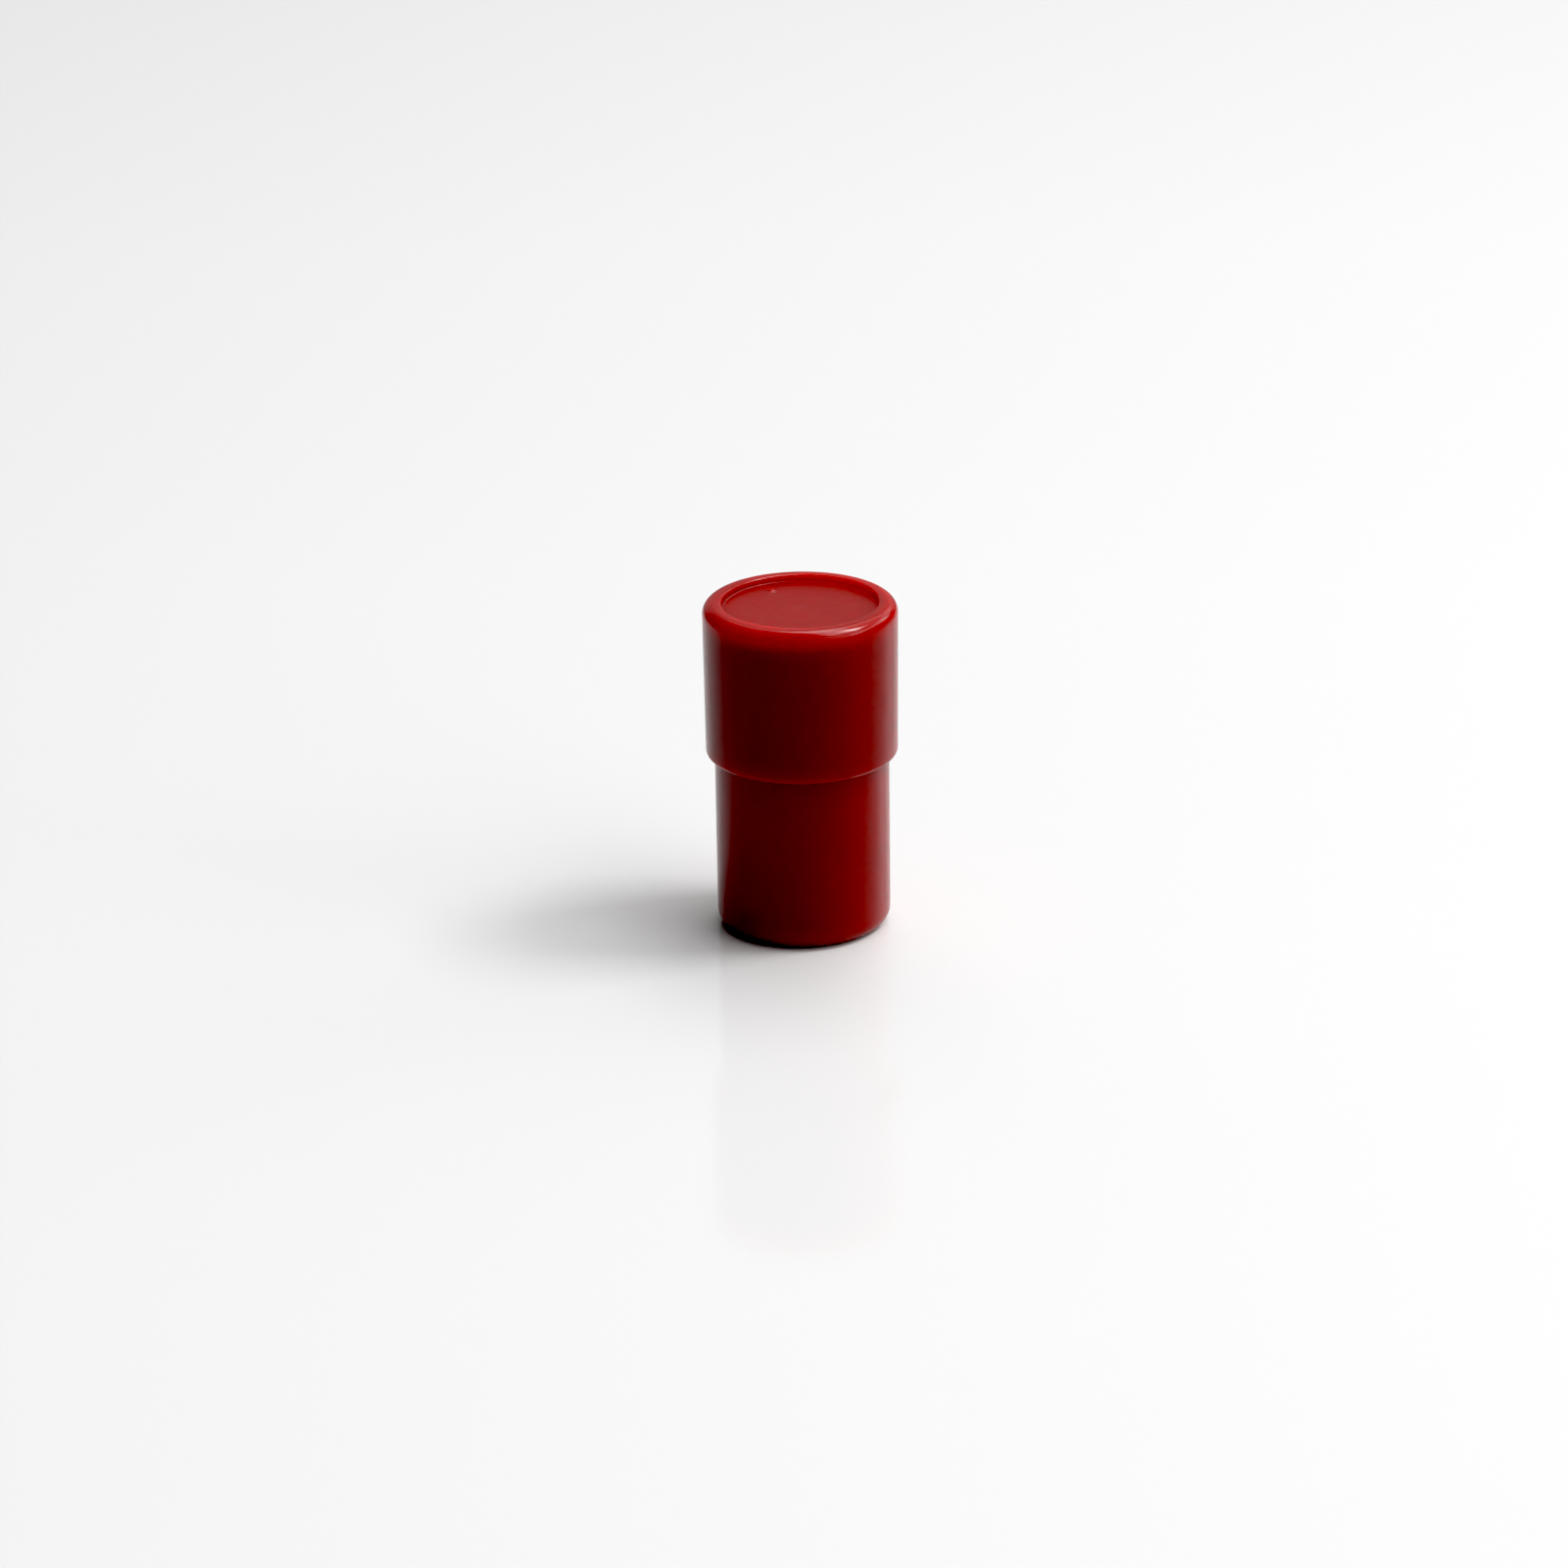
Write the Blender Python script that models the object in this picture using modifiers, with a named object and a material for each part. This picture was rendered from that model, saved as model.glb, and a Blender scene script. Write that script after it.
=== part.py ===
"""A two-piece slip-cap tube: a plain turned body and the cap that slides down over it.

Run with: blender --background --python part.py
Units are metres and +Z is up. The tube stands on its foot ring at the origin, and its axis is Z.
"""
from math import cos, pi, radians, sin

import bpy

MM = 0.001

# Outside sizes
TOTAL_HEIGHT = 35.1 * MM
CAP_TOP_DIAMETER = 20.0 * MM
CAP_MOUTH_DIAMETER = 19.8 * MM
BODY_DIAMETER = 18.0 * MM
CAP_LENGTH = 16.35 * MM

# Roundings of the outside edges
CAP_TOP_ROUND = 1.2 * MM
CAP_LIP_ROUND = 0.5 * MM
BODY_BASE_ROUND = 1.6 * MM

# The sunk panel in the cap's top, with the moulding gate's dimple at its centre
PANEL_DIAMETER = 16.0 * MM
PANEL_DEPTH = 0.7 * MM
RIM_INNER_ROUND = 0.25 * MM
PANEL_CORNER_ROUND = 0.2 * MM
GATE_DIAMETER = 1.6 * MM
GATE_DEPTH = 0.15 * MM

# Walls, and the room between the two pieces
CAP_TOP_WALL = 1.4 * MM
BODY_FLOOR_WALL = 1.0 * MM
BODY_WALL = 1.0 * MM
SLIP_CLEARANCE = 0.15 * MM
SEAT_GAP = 0.3 * MM
INSIDE_CORNER_ROUND = 0.8 * MM
CAP_CORNER_ROUND = 0.2 * MM
MOUTH_EDGE_ROUND = 0.3 * MM
LEAD_IN = 0.4 * MM

# The hollow under the body, inside the foot ring
FOOT_RING_WIDTH = 0.8 * MM
FOOT_HOLLOW_DEPTH = 0.5 * MM
FOOT_HOLLOW_SLOPE = 0.3 * MM

TURN_STEPS = 64
RED_PLASTIC = (0.30, 0.004, 0.004, 1.0)
PLASTIC_ROUGHNESS = 0.32

# Places worked out from the sizes above
CAP_RADIUS = CAP_TOP_DIAMETER / 2
CAP_MOUTH_RADIUS = CAP_MOUTH_DIAMETER / 2
BODY_RADIUS = BODY_DIAMETER / 2
PANEL_RADIUS = PANEL_DIAMETER / 2
CAP_BORE_RADIUS = BODY_RADIUS + SLIP_CLEARANCE
BODY_BORE_RADIUS = BODY_RADIUS - BODY_WALL
PANEL_Z = TOTAL_HEIGHT - PANEL_DEPTH
CEILING_Z = PANEL_Z - CAP_TOP_WALL
CAP_LIP_Z = TOTAL_HEIGHT - CAP_LENGTH
MOUTH_Z = CEILING_Z - SEAT_GAP
FLOOR_Z = FOOT_HOLLOW_DEPTH + BODY_FLOOR_WALL


def clear_scene():
    for scene_object in list(bpy.data.objects):
        bpy.data.objects.remove(scene_object, do_unlink=True)


def arc(centre_x, centre_z, radius, start_degrees, end_degrees, steps):
    """Points round an edge; 0 degrees points outwards and 90 degrees points up."""
    points = []
    for step in range(steps + 1):
        angle = radians(start_degrees + (end_degrees - start_degrees) * step / steps)
        points.append((centre_x + radius * cos(angle), centre_z + radius * sin(angle)))
    return points


def cap_profile():
    """Half section of the cap, from the gate over the rim, down the outside and back inside."""
    gate_radius = GATE_DIAMETER / 2
    lip_z = CAP_LIP_Z + CAP_LIP_ROUND
    points = [(0, PANEL_Z - GATE_DEPTH)]
    points.append((gate_radius - GATE_DEPTH, PANEL_Z - GATE_DEPTH))
    points.append((gate_radius, PANEL_Z))
    points += arc(PANEL_RADIUS - PANEL_CORNER_ROUND, PANEL_Z + PANEL_CORNER_ROUND,
                  PANEL_CORNER_ROUND, -90, 0, 2)
    points += arc(PANEL_RADIUS + RIM_INNER_ROUND, TOTAL_HEIGHT - RIM_INNER_ROUND,
                  RIM_INNER_ROUND, 180, 90, 3)
    points += arc(CAP_RADIUS - CAP_TOP_ROUND, TOTAL_HEIGHT - CAP_TOP_ROUND, CAP_TOP_ROUND, 90, 0, 6)
    points += arc(CAP_MOUTH_RADIUS - CAP_LIP_ROUND, lip_z, CAP_LIP_ROUND, 0, -90, 3)
    points.append((CAP_BORE_RADIUS + LEAD_IN / 2, CAP_LIP_Z))
    points.append((CAP_BORE_RADIUS, CAP_LIP_Z + LEAD_IN))
    points += arc(CAP_BORE_RADIUS - CAP_CORNER_ROUND, CEILING_Z - CAP_CORNER_ROUND,
                  CAP_CORNER_ROUND, 0, 90, 2)
    points.append((0, CEILING_Z))
    return points


def body_profile():
    """Half section of the body, from the inside floor over the mouth, down and under the base."""
    hollow_radius = BODY_RADIUS - BODY_BASE_ROUND - FOOT_RING_WIDTH
    gate_radius = GATE_DIAMETER / 2
    points = [(0, FLOOR_Z)]
    points += arc(BODY_BORE_RADIUS - INSIDE_CORNER_ROUND, FLOOR_Z + INSIDE_CORNER_ROUND,
                  INSIDE_CORNER_ROUND, -90, 0, 3)
    points += arc(BODY_BORE_RADIUS + MOUTH_EDGE_ROUND, MOUTH_Z - MOUTH_EDGE_ROUND,
                  MOUTH_EDGE_ROUND, 180, 90, 2)
    points.append((BODY_RADIUS - LEAD_IN, MOUTH_Z))
    points.append((BODY_RADIUS, MOUTH_Z - 2 * LEAD_IN))
    points += arc(BODY_RADIUS - BODY_BASE_ROUND, BODY_BASE_ROUND, BODY_BASE_ROUND, 0, -90, 5)
    points.append((hollow_radius, 0))
    points.append((hollow_radius - FOOT_HOLLOW_SLOPE, FOOT_HOLLOW_DEPTH))
    points.append((gate_radius, FOOT_HOLLOW_DEPTH))
    points.append((gate_radius - GATE_DEPTH, FOOT_HOLLOW_DEPTH + GATE_DEPTH))
    points.append((0, FOOT_HOLLOW_DEPTH + GATE_DEPTH))
    return points


def plastic_material(name):
    material = bpy.data.materials.new(name)
    material.use_nodes = True
    shader = material.node_tree.nodes["Principled BSDF"]
    shader.inputs["Base Color"].default_value = RED_PLASTIC
    shader.inputs["Roughness"].default_value = PLASTIC_ROUGHNESS
    shader.inputs["Metallic"].default_value = 0.0
    return material


def turned(name, profile, collection, material):
    """Spin a half section about Z into one closed solid."""
    mesh = bpy.data.meshes.new(name)
    edges = [(index, index + 1) for index in range(len(profile) - 1)]
    mesh.from_pydata([(x, 0, z) for x, z in profile], edges, [])
    mesh.materials.append(material)
    solid = bpy.data.objects.new(name, mesh)
    collection.objects.link(solid)
    screw = solid.modifiers.new("turn", "SCREW")
    screw.axis = "Z"
    screw.angle = 2 * pi
    screw.steps = TURN_STEPS
    screw.render_steps = TURN_STEPS
    screw.use_merge_vertices = True
    screw.merge_threshold = 0.00001
    screw.use_smooth_shade = True
    return solid


def main():
    clear_scene()
    collection = bpy.data.collections.new("slip_cap_tube")
    bpy.context.scene.collection.children.link(collection)

    body_material = plastic_material("body_red_plastic")
    cap_material = plastic_material("cap_red_plastic")
    turned("tube_body", body_profile(), collection, body_material)
    cap = turned("slip_cap", cap_profile(), collection, cap_material)

    # The cap hangs on an empty on the sliding axis, so moving the empty along Z draws it off.
    slide = bpy.data.objects.new("cap_slide", None)
    collection.objects.link(slide)
    cap.parent = slide


main()
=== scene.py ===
"""Looks for the slip-cap tube: smooth moulded shells, red translucent plastic, a white glossy table.

Metres, +Z up, the tube's foot at the origin and its axis along Z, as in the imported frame.
"""
from math import cos, exp, pi, radians, sin

import bpy
from mathutils import Matrix, Vector


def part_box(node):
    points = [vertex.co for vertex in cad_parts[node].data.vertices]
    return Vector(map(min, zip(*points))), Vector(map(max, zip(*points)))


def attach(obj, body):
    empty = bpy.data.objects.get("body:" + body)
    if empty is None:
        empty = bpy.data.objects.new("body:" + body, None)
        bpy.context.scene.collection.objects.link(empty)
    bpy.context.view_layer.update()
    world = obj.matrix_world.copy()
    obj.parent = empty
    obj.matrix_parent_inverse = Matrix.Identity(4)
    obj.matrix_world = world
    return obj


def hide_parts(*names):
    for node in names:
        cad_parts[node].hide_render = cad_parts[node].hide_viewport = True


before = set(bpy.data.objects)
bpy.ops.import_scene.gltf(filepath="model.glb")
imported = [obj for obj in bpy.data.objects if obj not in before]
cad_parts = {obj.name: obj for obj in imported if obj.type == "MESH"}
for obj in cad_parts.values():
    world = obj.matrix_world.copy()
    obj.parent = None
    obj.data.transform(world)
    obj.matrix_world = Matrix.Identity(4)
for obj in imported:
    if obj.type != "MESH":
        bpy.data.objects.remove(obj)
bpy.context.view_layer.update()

MM = 0.001
SEGMENTS = 256

# Sizes read from the frame
cap_low, cap_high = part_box("slip_cap")
_, body_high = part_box("tube_body")
TOP_Z = cap_high[2]
LIP_Z = cap_low[2]
MOUTH_Z = body_high[2]
CAP_R = cap_high[0]
BODY_R = body_high[0]

# The cap's other sizes
CAP_MOUTH_R = CAP_R - 0.1 * MM
CAP_BORE_R = BODY_R + 0.15 * MM
CAP_TOP_ROUND = 1.2 * MM
CAP_LIP_ROUND = 0.5 * MM
CAP_LIP_INNER_ROUND = 0.15 * MM
CAP_CORNER_ROUND = 0.2 * MM
PANEL_R = 8.0 * MM
PANEL_Z = TOP_Z - 0.7 * MM
PANEL_CORNER_ROUND = 0.22 * MM
RIM_INNER_ROUND = 0.27 * MM
CEILING_Z = PANEL_Z - 1.4 * MM

# The body's other sizes
BODY_BORE_R = BODY_R - 1.0 * MM
BODY_BASE_ROUND = 1.6 * MM
BODY_CORNER_ROUND = 0.8 * MM
MOUTH_EDGE_ROUND = 0.3 * MM
LEAD_IN = 0.4 * MM
LEAD_IN_END_Z = MOUTH_Z - 1.2 * MM
FLOOR_Z = 1.5 * MM
HOLLOW_R = BODY_R - BODY_BASE_ROUND - 0.8 * MM
HOLLOW_EDGE_ROUND = 0.08 * MM
HOLLOW_SLOPE = 0.3 * MM
HOLLOW_Z = 0.5 * MM
HOLLOW_GATE_R = 0.6 * MM
HOLLOW_GATE_EDGE = (0.45 * MM, 0.62 * MM)
HOLLOW_GATE_TOP = (0, 0.65 * MM)

# Marks in the sunk panel: centre, radius, height
GATE_DIMPLE = ((-0.1 * MM, 1.1 * MM), 0.75 * MM, -0.07 * MM)
PIP = ((-2.8 * MM, 5.0 * MM), 0.4 * MM, 0.22 * MM)
PANEL_RING_STEP = 0.12 * MM
PANEL_RINGS = 64
PANEL_FLATNESS = 0.01 * MM
PANEL_MARK_MARGIN = 0.3 * MM

LONGEST_FACE = 0.6 * MM


# ---------------------------------------------------------------- outlines

def arc(centre_r, centre_z, radius, start_degrees, end_degrees, steps):
    """Points round an edge; 0 degrees points outwards and 90 degrees points up."""
    points = []
    for step in range(steps + 1):
        angle = radians(start_degrees + (end_degrees - start_degrees) * step / steps)
        points.append((centre_r + radius * cos(angle), centre_z + radius * sin(angle)))
    return points


def run(start, end, steps):
    """Points along a straight stretch, without its two ends."""
    points = []
    for step in range(1, steps):
        share = step / steps
        points.append((start[0] + (end[0] - start[0]) * share, start[1] + (end[1] - start[1]) * share))
    return points


def joined(*stretches):
    """One outline through the stretches, with points added along the straight gaps between them."""
    outline = []
    for stretch in stretches:
        if outline:
            gap = (Vector(stretch[0]) - Vector(outline[-1])).length
            outline += run(outline[-1], stretch[0], max(1, round(gap / LONGEST_FACE)))
        outline += stretch
    return outline


def cap_outline():
    """From the panel's centre out over the rim, down the wall, and up inside to the ceiling's centre."""
    panel = [(PANEL_RING_STEP * ring, PANEL_Z) for ring in range(PANEL_RINGS + 1)]
    return joined(
        panel,
        arc(PANEL_R - PANEL_CORNER_ROUND, PANEL_Z + PANEL_CORNER_ROUND, PANEL_CORNER_ROUND, -90, -2, 6),
        arc(PANEL_R + RIM_INNER_ROUND, TOP_Z - RIM_INNER_ROUND, RIM_INNER_ROUND, 178, 90, 8),
        arc(CAP_R - CAP_TOP_ROUND, TOP_Z - CAP_TOP_ROUND, CAP_TOP_ROUND, 90, 0, 18),
        arc(CAP_MOUTH_R - CAP_LIP_ROUND, LIP_Z + CAP_LIP_ROUND, CAP_LIP_ROUND, 0, -90, 12),
        arc(CAP_BORE_R + CAP_LIP_INNER_ROUND, LIP_Z + CAP_LIP_INNER_ROUND, CAP_LIP_INNER_ROUND,
            -90, -180, 4),
        arc(CAP_BORE_R - CAP_CORNER_ROUND, CEILING_Z - CAP_CORNER_ROUND, CAP_CORNER_ROUND, 0, 90, 4),
        [(0, CEILING_Z)],
    )


def body_outline():
    """From the floor's centre up the bore, over the mouth, down the wall, and under the foot."""
    return joined(
        [(0, FLOOR_Z)],
        arc(BODY_BORE_R - BODY_CORNER_ROUND, FLOOR_Z + BODY_CORNER_ROUND, BODY_CORNER_ROUND, -90, 0, 8),
        arc(BODY_BORE_R + MOUTH_EDGE_ROUND, MOUTH_Z - MOUTH_EDGE_ROUND, MOUTH_EDGE_ROUND, 180, 90, 6),
        arc(BODY_R - LEAD_IN, MOUTH_Z - LEAD_IN, LEAD_IN, 90, 12, 6),
        [(BODY_R, LEAD_IN_END_Z)],
        arc(BODY_R - BODY_BASE_ROUND, BODY_BASE_ROUND, BODY_BASE_ROUND, 0, -90, 14),
        arc(HOLLOW_R, HOLLOW_EDGE_ROUND, HOLLOW_EDGE_ROUND, -90, -150, 3),
        [(HOLLOW_R - HOLLOW_SLOPE, HOLLOW_Z)],
        [(HOLLOW_GATE_R, HOLLOW_Z)],
        [HOLLOW_GATE_EDGE],
        [HOLLOW_GATE_TOP],
    )


# ---------------------------------------------------------------- meshes

def turned(name, outline, materials, chooser):
    """A closed solid of revolution; chooser(r, z) gives each ring of faces its material slot."""
    vertices = []
    rings = []
    for r, z in outline:
        if r == 0:
            rings.append([len(vertices)] * SEGMENTS)
            vertices.append((0, 0, z))
            continue
        rings.append(list(range(len(vertices), len(vertices) + SEGMENTS)))
        for step in range(SEGMENTS):
            angle = 2 * pi * step / SEGMENTS
            vertices.append((r * cos(angle), r * sin(angle), z))
    faces = []
    slots = []
    for index in range(len(rings) - 1):
        upper, lower = rings[index], rings[index + 1]
        r = (outline[index][0] + outline[index + 1][0]) / 2
        z = (outline[index][1] + outline[index + 1][1]) / 2
        for step in range(SEGMENTS):
            after = (step + 1) % SEGMENTS
            corners = [upper[step], lower[step], lower[after], upper[after]]
            faces.append(list(dict.fromkeys(corners)))  # a triangle where a ring is one point
            slots.append(chooser(r, z))
    mesh = bpy.data.meshes.new(name)
    mesh.from_pydata(vertices, [], faces)
    mesh.polygons.foreach_set("material_index", slots)
    for material in materials:
        mesh.materials.append(material)
    mesh.shade_smooth()
    piece = bpy.data.objects.new(name, mesh)
    bpy.context.scene.collection.objects.link(piece)
    return piece


def mound(x, y, centre, radius, height):
    """Height of a small round swelling, or a dimple where height is below 0."""
    distance_squared = (x - centre[0]) ** 2 + (y - centre[1]) ** 2
    return height * exp(-distance_squared / radius ** 2)


def mark_panel(piece):
    """The gate's dimple near the panel's centre, and a small raised pip near its far edge."""
    for vertex in piece.data.vertices:
        x, y, z = vertex.co
        if abs(z - PANEL_Z) > PANEL_FLATNESS or x * x + y * y > (PANEL_R - PANEL_MARK_MARGIN) ** 2:
            continue
        vertex.co.z = z + mound(x, y, *GATE_DIMPLE) + mound(x, y, *PIP)


# ---------------------------------------------------------------- materials

class Nodes:
    """A material's node tree, with short ways to add and join nodes."""

    def __init__(self, material):
        self.tree = material.node_tree
        self.shader = self.tree.nodes["Principled BSDF"]

    def add(self, kind, **values):
        """A node with its settings, or its sockets' values, given by name."""
        node = self.tree.nodes.new(kind)
        for name, value in values.items():
            if hasattr(node, name):
                setattr(node, name, value)
            else:
                node.inputs[name].default_value = value
        return node

    def join(self, source, target):
        self.tree.links.new(source, target)


def new_material(name, shader_values):
    material = bpy.data.materials.new(name)
    material.use_nodes = True
    nodes = Nodes(material)
    for socket, value in shader_values.items():
        nodes.shader.inputs[socket].default_value = value
    return material, nodes


def red_plastic(name, roughness_low, roughness_high, red):
    """Red plastic that light sinks into; the red channel sets how deep the colour is."""
    material, nodes = new_material(name, {
        "IOR": 1.40,
        "Subsurface Weight": 1.0,
        "Subsurface Radius": (1.0, 0.08, 0.06),
        "Subsurface Scale": 0.016,
        "Subsurface Anisotropy": 0.6,
    })
    shader = nodes.shader
    colour = (red, 0.004, 0.002)
    place = nodes.add("ShaderNodeTexCoord")

    # Slow swirls of pigment in the melt
    swirl = nodes.add("ShaderNodeTexNoise", Scale=140.0, Detail=3.0, Roughness=0.5)
    nodes.join(place.outputs["Object"], swirl.inputs["Vector"])
    tint = nodes.add("ShaderNodeMix", data_type="RGBA")
    tint.inputs["A"].default_value = [c * 0.93 for c in colour] + [1]
    tint.inputs["B"].default_value = [c * 1.07 for c in colour] + [1]
    nodes.join(swirl.outputs["Fac"], tint.inputs["Factor"])
    nodes.join(tint.outputs["Result"], shader.inputs["Base Color"])

    # Handling wear: patches of duller surface
    wear = nodes.add("ShaderNodeTexNoise", Scale=900.0, Detail=6.0, Roughness=0.65)
    nodes.join(place.outputs["Object"], wear.inputs["Vector"])
    dull = nodes.add("ShaderNodeMapRange")
    dull.inputs["From Min"].default_value = 0.3
    dull.inputs["From Max"].default_value = 0.7
    dull.inputs["To Min"].default_value = roughness_low
    dull.inputs["To Max"].default_value = roughness_high
    nodes.join(wear.outputs["Fac"], dull.inputs["Value"])
    nodes.join(dull.outputs["Result"], shader.inputs["Roughness"])

    # The faint unevenness of a moulded wall
    wave = nodes.add("ShaderNodeTexNoise", Scale=260.0, Detail=2.0, Roughness=0.4)
    nodes.join(place.outputs["Object"], wave.inputs["Vector"])
    bump = nodes.add("ShaderNodeBump", Strength=0.005, Distance=0.00006)
    nodes.join(wave.outputs["Fac"], bump.inputs["Height"])
    nodes.join(bump.outputs["Normal"], shader.inputs["Normal"])
    return material


# ---------------------------------------------------------------- stage

def make_table():
    """A wide disc just under the foot."""
    bpy.ops.mesh.primitive_circle_add(
        vertices=96, radius=6.0, fill_type="NGON", location=(0, 0, -0.02 * MM))
    table = bpy.context.object
    table.name = "table"
    material, _ = new_material("white_table", {
        "Base Color": (0.63, 0.63, 0.63, 1),
        "Roughness": 0.08,
        "IOR": 1.4,
    })
    table.data.materials.append(material)


def make_camera():
    """Long lens from in front and above, with the tube a little above and right of the middle."""
    distance = 0.5055
    elevation = radians(21.8)
    roll = radians(-0.89)
    aim_right = 0.00187
    aim_up = 0.00237
    middle = Vector((0, 0, TOP_Z / 2))
    forward = Vector((0, cos(elevation), -sin(elevation)))
    level = Vector((1, 0, 0))
    upward = Vector((0, sin(elevation), cos(elevation)))
    right = level * cos(roll) + upward * sin(roll)
    up = upward * cos(roll) - level * sin(roll)
    place = middle - forward * distance - right * aim_right - up * aim_up
    data = bpy.data.cameras.new("camera")
    data.lens = 112.5
    data.sensor_width = 36.0
    data.clip_start = 0.01
    camera = bpy.data.objects.new("camera", data)
    bpy.context.scene.collection.objects.link(camera)
    axes = Matrix((right, up, -forward)).transposed().to_4x4()
    camera.matrix_world = Matrix.Translation(place) @ axes
    bpy.context.scene.camera = camera


def softbox(name, place, width, height, power, aim=(0, 0, 0)):
    """A rectangular light facing its aim, out of the camera's sight."""
    data = bpy.data.lights.new(name, "AREA")
    data.shape = "RECTANGLE"
    data.size = width
    data.size_y = height
    data.energy = power
    light = bpy.data.objects.new(name, data)
    bpy.context.scene.collection.objects.link(light)
    light.location = place
    light.rotation_euler = (Vector(aim) - Vector(place)).to_track_quat("-Z", "Y").to_euler()
    light.visible_camera = False


def make_lights():
    """A dim white world, and softboxes mostly from the right, above and behind."""
    world = bpy.data.worlds.new("studio")
    bpy.context.scene.world = world
    world.use_nodes = True
    background = world.node_tree.nodes["Background"]
    background.inputs["Color"].default_value = (1, 1, 1, 1)
    background.inputs["Strength"].default_value = 0.10
    softbox("key", (0.92, 0.1, 1.32), 0.45, 0.45, 14)
    softbox("key_high", (0.45, 0.2, 1.5), 2.0, 0.45, 14)
    softbox("key_low", (1.35, 0.2, 0.72), 2.0, 0.4, 7)
    softbox("side_front", (1.3, -0.9, 1.0), 1.6, 1.6, 15)
    softbox("side_back", (0.9, 1.0, 1.1), 1.2, 1.2, 5)
    softbox("overhead", (0, -0.1, 1.7), 1.0, 1.0, 2.5)
    softbox("overhead_back", (0, 1.0, 1.5), 1.2, 1.2, 6)
    softbox("backdrop", (0, 2.3, 0.9), 3.5, 1.6, 8, aim=(0, 0, 0.1))


def set_view():
    """A plain view transform with the deep blacks of a contrasty studio shot."""
    view = bpy.context.scene.view_settings
    view.view_transform = "Standard"
    view.look = "None"
    view.use_curve_mapping = True
    curves = view.curve_mapping
    curves.black_level = (0.05, 0.05, 0.05)
    curves.update()


# ---------------------------------------------------------------- assembly

def cap_slot(r, z):
    """Satin for the sunk panel, a darker red for the step round it as painted shade, gloss for the rest.
    """
    if z < CEILING_Z + 0.2 * MM or r > PANEL_R + 0.1 * MM:
        return 0
    return 1 if z < PANEL_Z + 0.05 * MM else 2


make_camera()
set_view()
make_table()
make_lights()

gloss = red_plastic("red_gloss", 0.19, 0.24, 0.24)
satin = red_plastic("red_satin", 0.36, 0.42, 0.26)
# The step round the sunk panel gets a darker red than the rest: painted shade in the recess.
shaded_recess = red_plastic("red_shaded_recess", 0.55, 0.60, 0.155)

body = turned("tube_shell", body_outline(), [gloss], lambda r, z: 0)
cap = turned("cap_shell", cap_outline(), [gloss, satin, shaded_recess], cap_slot)
mark_panel(cap)

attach(body, "body")
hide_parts("tube_body")
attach(cap, "cap")
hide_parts("slip_cap")
